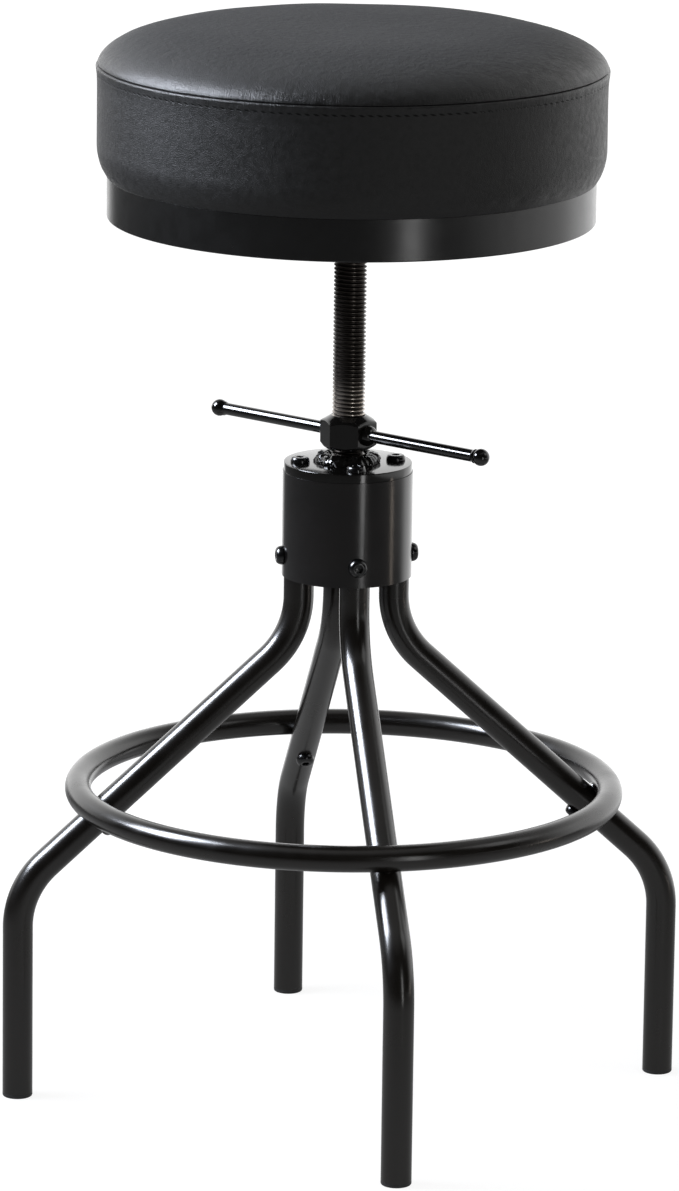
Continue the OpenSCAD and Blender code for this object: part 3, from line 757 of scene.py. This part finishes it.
def slack_at(length, a):
    """The simulated slack between the sheet's rows and columns."""
    across = (length - sheet_start) / sheet_step
    if across < 0 or length > lengths[-1]:
        return 0.0
    row = min(int(across), sheet_rows - 2)
    around = a / math.tau * sheet_count
    k = int(around)
    share = around - k
    near, far = (slack[r][k % sheet_count] * (1 - share) + slack[r][(k + 1) % sheet_count] * share
                 for r in (row, row + 1))
    return near + (far - near) * min(across - row, 1)


def pucker(radius, z, a):
    """Broad unevenness of the foam, and fine puckers that die out away from the seam."""
    spot = Vector((radius * math.cos(a), radius * math.sin(a), z))
    broad = 0.0006 * noise.noise(spot * 18.0)
    ripple = noise.noise(Vector((math.cos(a), math.sin(a), 0.0)) * 24.0 + Vector((0, 0, z * 8.0)))
    near_seam = math.exp(-abs(z - seam_height) / 0.008) if radius > 0.12 else 0.0
    return broad + 0.0003 * ripple * near_seam


cover_steps = 320
cover_rings = []
for i, (radius, z) in enumerate(outline):
    before = Vector(outline[max(i - 1, 0)])
    after = Vector(outline[min(i + 1, len(outline) - 1)])
    along = (after - before).normalized()
    outward = Vector((-along.y, along.x))
    free = 1.0 if z > board_high.z + 0.002 and radius > 0 else 0.0
    ring = []
    for k in range(cover_steps if radius > 0 else 1):
        a = math.tau * k / cover_steps
        rise = free * (pucker(radius, z, a) + seam_relief(z) * (1 if radius > 0.17 else 0))
        if i < free_rows:
            rise += slack_at(lengths[i], a)
        reach = radius + outward.x * rise
        ring.append((reach * math.cos(a), reach * math.sin(a), z + outward.y * rise))
    cover_rings.append(ring)

# Leatherette: PVC on a knitted back, embossed with a leather grain of about 1 mm and mottled softly.
# It has a dull sheen, shinier where it is stretched over the shoulder, where fine puckers run up
# from the seam. Each stitch pulls a small slanting pit into it, painted near black as painted shade.
leatherette, tree, shader, place = start_finish("black_leatherette", {"IOR": 1.5})
stitch_count = 184
stroke_width = 0.0014
stroke_length = 0.02
parts = add_node(tree, "ShaderNodeSeparateXYZ", {}, {"Vector": place}).outputs
around = add_node(tree, "ShaderNodeMath", {"operation": "ARCTAN2"}, {0: parts["Y"], 1: parts["X"]})
above = add_node(tree, "ShaderNodeMath", {"operation": "SUBTRACT", 1: seam_height}, {0: parts["Z"]})
hide = add_node(tree, "ShaderNodeTexVoronoi", {"feature": "DISTANCE_TO_EDGE", "Scale": 1 / 0.0011},
                {"Vector": place})
mottle = add_node(tree, "ShaderNodeTexNoise", {"Scale": 1 / 0.0045, "Detail": 5.0, "Distortion": 0.4},
                  {"Vector": place})
grain = add_node(tree, "ShaderNodeMath", {"operation": "MULTIPLY", 1: 0.6}, {0: hide})
fullness = add_node(tree, "ShaderNodeMapRange",
                    {"From Min": 0.012, "From Max": 0.027, "To Min": 0.55, "To Max": 3.4},
                    {"Value": above})
hilly = add_node(tree, "ShaderNodeMath", {"operation": "MULTIPLY_ADD"},
                 {0: mottle, 1: fullness, 2: grain})
stroke_across = add_node(tree, "ShaderNodeMath",
                         {"operation": "MULTIPLY", 1: side_radius / stroke_width}, {0: around})
stroke_along = add_node(tree, "ShaderNodeMath",
                        {"operation": "MULTIPLY", 1: 1 / stroke_length}, {0: above})
stroke_place = add_node(tree, "ShaderNodeCombineXYZ", {}, {"X": stroke_across, "Y": stroke_along})
strokes = add_node(tree, "ShaderNodeTexNoise", {"Scale": 1.0, "Detail": 2.0}, {"Vector": stroke_place})
off_seam = add_node(tree, "ShaderNodeMath", {"operation": "ABSOLUTE"}, {0: above})
near_seam = add_node(tree, "ShaderNodeMapRange", {"From Min": 0.015, "From Max": 0.001, "To Max": 0.6},
                     {"Value": off_seam})
puckered = add_node(tree, "ShaderNodeMath", {"operation": "MULTIPLY_ADD"},
                    {0: strokes, 1: near_seam, 2: hilly})
stitch_line = add_node(tree, "ShaderNodeMath", {"operation": "ADD", 1: stitch_drop}, {0: above})
slant = add_node(tree, "ShaderNodeMath", {"operation": "MULTIPLY", 1: 1 / 0.004}, {0: stitch_line})
stitch_phase = add_node(tree, "ShaderNodeMath", {"operation": "MULTIPLY_ADD", 1: stitch_count / math.tau},
                        {0: around, 2: slant})
beat = add_node(tree, "ShaderNodeMath", {"operation": "PINGPONG", 1: 0.5}, {0: stitch_phase})
dash = add_node(tree, "ShaderNodeMapRange", {"From Min": 0.3, "From Max": 0.18}, {"Value": beat})
off_line = add_node(tree, "ShaderNodeMath", {"operation": "ABSOLUTE"}, {0: stitch_line})
on_line = add_node(tree, "ShaderNodeMapRange", {"From Min": 0.001, "From Max": 0.0004},
                   {"Value": off_line})
pit = add_node(tree, "ShaderNodeMath", {"operation": "MULTIPLY"}, {0: dash, 1: on_line})
height = add_node(tree, "ShaderNodeMath", {"operation": "MULTIPLY_ADD", 1: -0.4}, {0: pit, 2: puckered})
relief = add_node(tree, "ShaderNodeBump", {"Strength": 0.6, "Distance": 0.0008}, {"Height": height})
tint = add_node(tree, "ShaderNodeMix", {"data_type": "RGBA", 6: linear("131313"), 7: linear("292929")},
                {"Factor": mottle})
# Painted shade: the stitch pits are painted near black for the shade that falls in them.
pit_painted_shade = add_node(tree, "ShaderNodeMix", {"data_type": "RGBA", 7: linear("0c0c0c")},
                  {"Factor": pit, 6: tint})
matt = add_node(tree, "ShaderNodeMapRange", {"To Min": 0.28, "To Max": 0.1}, {"Value": pit})
share = add_node(tree, "ShaderNodeMapRange", {"From Min": -0.03, "From Max": 0.03}, {"Value": above})
sheen = add_node(tree, "ShaderNodeValToRGB", {}, {"Fac": share})
stops = sheen.color_ramp.elements
stops[1].position = 0.92
for spot in (0.44, 0.47, 0.6, 0.75):
    stops.new(spot)
for stop, level in zip(stops, (0.31, 0.31, 0.19, 0.22, 0.45, 0.72)):
    stop.color = (level, level, level, 1.0)
uneven = add_node(tree, "ShaderNodeMath", {"operation": "MULTIPLY_ADD", 1: 0.35}, {0: mottle, 2: sheen})
connect(tree, shader, {
    "Base Color": pit_painted_shade, "Specular IOR Level": matt, "Roughness": uneven, "Normal": relief})

cushion = turned_piece("seat_cushion", cover_rings, leatherette)
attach(cushion, "seat")
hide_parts("cover_top", "cover_side", "foam_pad")

# Topstitching: waxed black bonded thread, 0.8 mm thick, in slanting stitches 3.6 mm long and about
# 6 mm apart.
bonded_thread, tree, shader, place = start_finish(
    "bonded_nylon_thread", {"Base Color": linear("0c0c0c"), "IOR": 1.5, "Specular IOR Level": 0.5})
twist = add_node(tree, "ShaderNodeTexWave", {"Scale": 1 / 0.0009, "Distortion": 1.0}, {"Vector": place})
vary_finish(tree, shader, twist.outputs["Fac"], roughness=(0.35, 0.5))

stitch_tree, size = start_tree("topstitching", {
    "Count": "Int", "Circle radius": "Float", "Height": "Float", "Stitch length": "Float",
    "Thread radius": "Float"})
bead = add_node(stitch_tree, "GeometryNodeMeshUVSphere", {"Segments": 8, "Rings": 6, "Radius": 1.0})
half_stitch = add_node(stitch_tree, "ShaderNodeMath", {"operation": "MULTIPLY", 1: 0.5},
                       {0: size["Stitch length"]})
thread_form = add_node(stitch_tree, "ShaderNodeCombineXYZ", {},
                       {"X": size["Thread radius"], "Y": half_stitch, "Z": size["Thread radius"]})
long_stitch = add_node(stitch_tree, "GeometryNodeTransform", {}, {"Geometry": bead, "Scale": thread_form})
slanted = add_node(stitch_tree, "GeometryNodeTransform", {"Rotation": (math.radians(-26), 0, 0)},
                   {"Geometry": long_stitch})
end_tree(stitch_tree, stand_round(stitch_tree, size, slanted), bonded_thread)
stitching = run_tree("seam_topstitching", stitch_tree, {
    "Count": stitch_count, "Circle radius": side_radius, "Height": seam_height - stitch_drop,
    "Stitch length": 0.0036, "Thread radius": 0.0004})
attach(stitching, "seat")


# Studio: a white floor and backdrop, one large softbox high on the left, three small lamps in front
# and on the right, and the rest of the room dark.

# Floor: white paint, seen at an even white of its own, on which the lamps add light and shadow. Glossy
# surfaces mirror it bright behind the stool and far to the right, and dim close to it.
floor_paint, tree, shader, place = start_finish(
    "floor_paint", {"Base Color": linear("909090"), "Roughness": 0.9, "Specular IOR Level": 0.0})
rays = add_node(tree, "ShaderNodeLightPath").outputs
seen = add_node(tree, "ShaderNodeMath", {"operation": "MAXIMUM"},
                {0: rays["Is Camera Ray"], 1: rays["Is Transmission Ray"]})
distance = add_node(tree, "ShaderNodeVectorMath", {"operation": "LENGTH"}, {0: place})
whiter = add_node(tree, "ShaderNodeMapRange",
                  {"From Min": 0.5, "From Max": 1.6, "To Min": 0.86, "To Max": 1.0}, {"Value": distance})
own_white = add_node(tree, "ShaderNodeMath", {"operation": "MULTIPLY"}, {0: seen, 1: whiter})
bearing = add_node(tree, "ShaderNodeVectorMath", {"operation": "NORMALIZE"}, {0: place})
behind = add_node(tree, "ShaderNodeVectorMath", {"operation": "DOT_PRODUCT", 1: (0.5, 0.87, 0.0)},
                  {0: bearing})
lit = add_node(tree, "ShaderNodeMapRange", {"From Min": 0.6, "From Max": 0.8, "To Max": 1.5},
               {"Value": behind})
away = add_node(tree, "ShaderNodeMapRange", {"From Min": 0.5, "From Max": 1.2}, {"Value": distance})
rear_white = add_node(tree, "ShaderNodeMath", {"operation": "MULTIPLY"}, {0: lit, 1: away})
to_right = add_node(tree, "ShaderNodeVectorMath", {"operation": "DOT_PRODUCT", 1: (0.95, 0.3, 0.0)},
                    {0: place})
right_white = add_node(tree, "ShaderNodeMapRange", {"From Min": 1.8, "From Max": 2.5, "To Max": 1.1},
                       {"Value": to_right})
far_white = add_node(tree, "ShaderNodeMath", {"operation": "MAXIMUM"}, {0: rear_white, 1: right_white})
near_white = add_node(tree, "ShaderNodeMapRange",
                      {"From Min": 0.4, "From Max": 1.4, "To Min": 0.35, "To Max": 0.04},
                      {"Value": distance})
mirrored_white = add_node(tree, "ShaderNodeMath", {"operation": "MAXIMUM"}, {0: far_white, 1: near_white})
strength = add_node(tree, "ShaderNodeMath", {"operation": "MULTIPLY_ADD"},
                    {0: rays["Is Glossy Ray"], 1: mirrored_white, 2: own_white})
glow = add_node(tree, "ShaderNodeEmission", {"Color": (1, 1, 1, 1)}, {"Strength": strength})
both = add_node(tree, "ShaderNodeAddShader", {}, {0: glow, 1: shader})
connect(tree, tree.nodes["Material Output"], {"Surface": both})
floor_reach = 8
floor_mesh = bpy.data.meshes.new("floor")
floor_mesh.from_pydata([(-floor_reach, -floor_reach, 0), (floor_reach, -floor_reach, 0),
                        (floor_reach, floor_reach, 0), (-floor_reach, floor_reach, 0)],
                       [], [(0, 1, 2, 3)])
floor_mesh.materials.append(floor_paint)
floor = bpy.data.objects.new("floor", floor_mesh)
scene.collection.objects.link(floor)

# Backdrop: an even white to the camera. In mirrors it is white behind the stool up to about 45
# degrees, and the room in front of it is dark. On plain surfaces it is a weak fill.
world = bpy.data.worlds.new("studio")
scene.world = world
world.use_nodes = True
tree = world.node_tree
background = tree.nodes["Background"]
background.inputs["Color"].default_value = (1, 1, 1, 1)
rays = add_node(tree, "ShaderNodeLightPath").outputs
sky = add_node(tree, "ShaderNodeTexCoord").outputs["Generated"]
parts = add_node(tree, "ShaderNodeSeparateXYZ", {}, {"Vector": sky}).outputs
behind = add_node(tree, "ShaderNodeMath", {"operation": "MULTIPLY_ADD", 1: 0.4},
                  {0: parts["X"], 2: parts["Y"]})
far_white = add_node(tree, "ShaderNodeMapRange",
                     {"From Min": 0.1, "From Max": 0.6, "To Min": 0.02, "To Max": 1.7}, {"Value": behind})
low = add_node(tree, "ShaderNodeMapRange",
               {"From Min": 0.45, "From Max": 0.75, "To Min": 1.0, "To Max": 0.15},
               {"Value": parts["Z"]})
ceiling = add_node(tree, "ShaderNodeMapRange", {"From Min": 0.7, "From Max": 0.95, "To Max": 0.4},
                   {"Value": parts["Z"]})
wall = add_node(tree, "ShaderNodeMath", {"operation": "MULTIPLY_ADD"}, {0: far_white, 1: low, 2: ceiling})
mirrored = add_node(tree, "ShaderNodeMix", {"data_type": "FLOAT", 2: 0.35},
                    {0: rays["Is Glossy Ray"], 3: wall})
level = add_node(tree, "ShaderNodeMix", {"data_type": "FLOAT", 3: 1.0},
                 {0: rays["Is Camera Ray"], 2: mirrored})
connect(tree, background, {"Strength": level})


def softbox(name, place, aim, width, height, power, colour="ffffff", lights=True, mirrored=True):
    """A rectangular soft lamp, which may only light surfaces or only be mirrored in them."""
    lamp = bpy.data.lights.new(name, "AREA")
    lamp.shape = "RECTANGLE"
    lamp.size = width
    lamp.size_y = height
    lamp.energy = power
    lamp.color = linear(colour)[:3]
    stand = bpy.data.objects.new(name, lamp)
    stand.location = place
    stand.rotation_euler = (Vector(aim) - Vector(place)).to_track_quat("-Z", "Y").to_euler()
    stand.visible_camera = False
    stand.visible_diffuse = lights
    stand.visible_glossy = mirrored
    scene.collection.objects.link(stand)


softbox("left_softbox_light", place=(-1.5, 0.25, 1.55), aim=(0, 0, 0.4), width=1.15, height=1.25,
        power=22, colour="eff4ff", mirrored=False)
softbox("left_softbox_mirrored", place=(-1.48, 0.247, 1.535), aim=(0, 0, 0.4), width=0.86, height=1.0,
        power=140, colour="edf3ff", lights=False)
softbox("front_strip", place=(0.495, -1.6, 0.42), aim=(0, 0, 0.42), width=0.19, height=0.84, power=2.4)
softbox("right_strip", place=(1.55, -0.41, 0.08), aim=(0, 0, 0.08), width=0.08, height=0.16,
        power=0.25, colour="ffeede")
softbox("right_card", place=(1.3, -0.5, 1.5), aim=(0, 0, 0.4), width=0.7, height=0.7, power=2.4)

# Camera: a long lens from the front, a little to the left and 13 degrees down.
camera = bpy.data.objects.new("camera", bpy.data.cameras.new("camera"))
scene.collection.objects.link(camera)
scene.camera = camera
camera.data.lens = 211.0
camera.data.sensor_width = 36.0
camera_place = Vector((-0.8409, -4.8696, 1.5523))
heading = Vector((0.1692, 0.9856, 0))
pitch = math.radians(13.446)
roll = math.radians(0.76)
forward = heading * math.cos(pitch) - Vector((0, 0, math.sin(pitch)))
right = forward.cross(Vector((0, 0, 1))).normalized()
up = right.cross(forward)
tilted_right = right * math.cos(roll) + up * math.sin(roll)
tilted_up = up * math.cos(roll) - right * math.sin(roll)
camera.matrix_world = Matrix((
    [*tilted_right, 0], [*tilted_up, 0], [*-forward, 0], [*camera_place, 1])).transposed()

scene.view_settings.view_transform = "Standard"
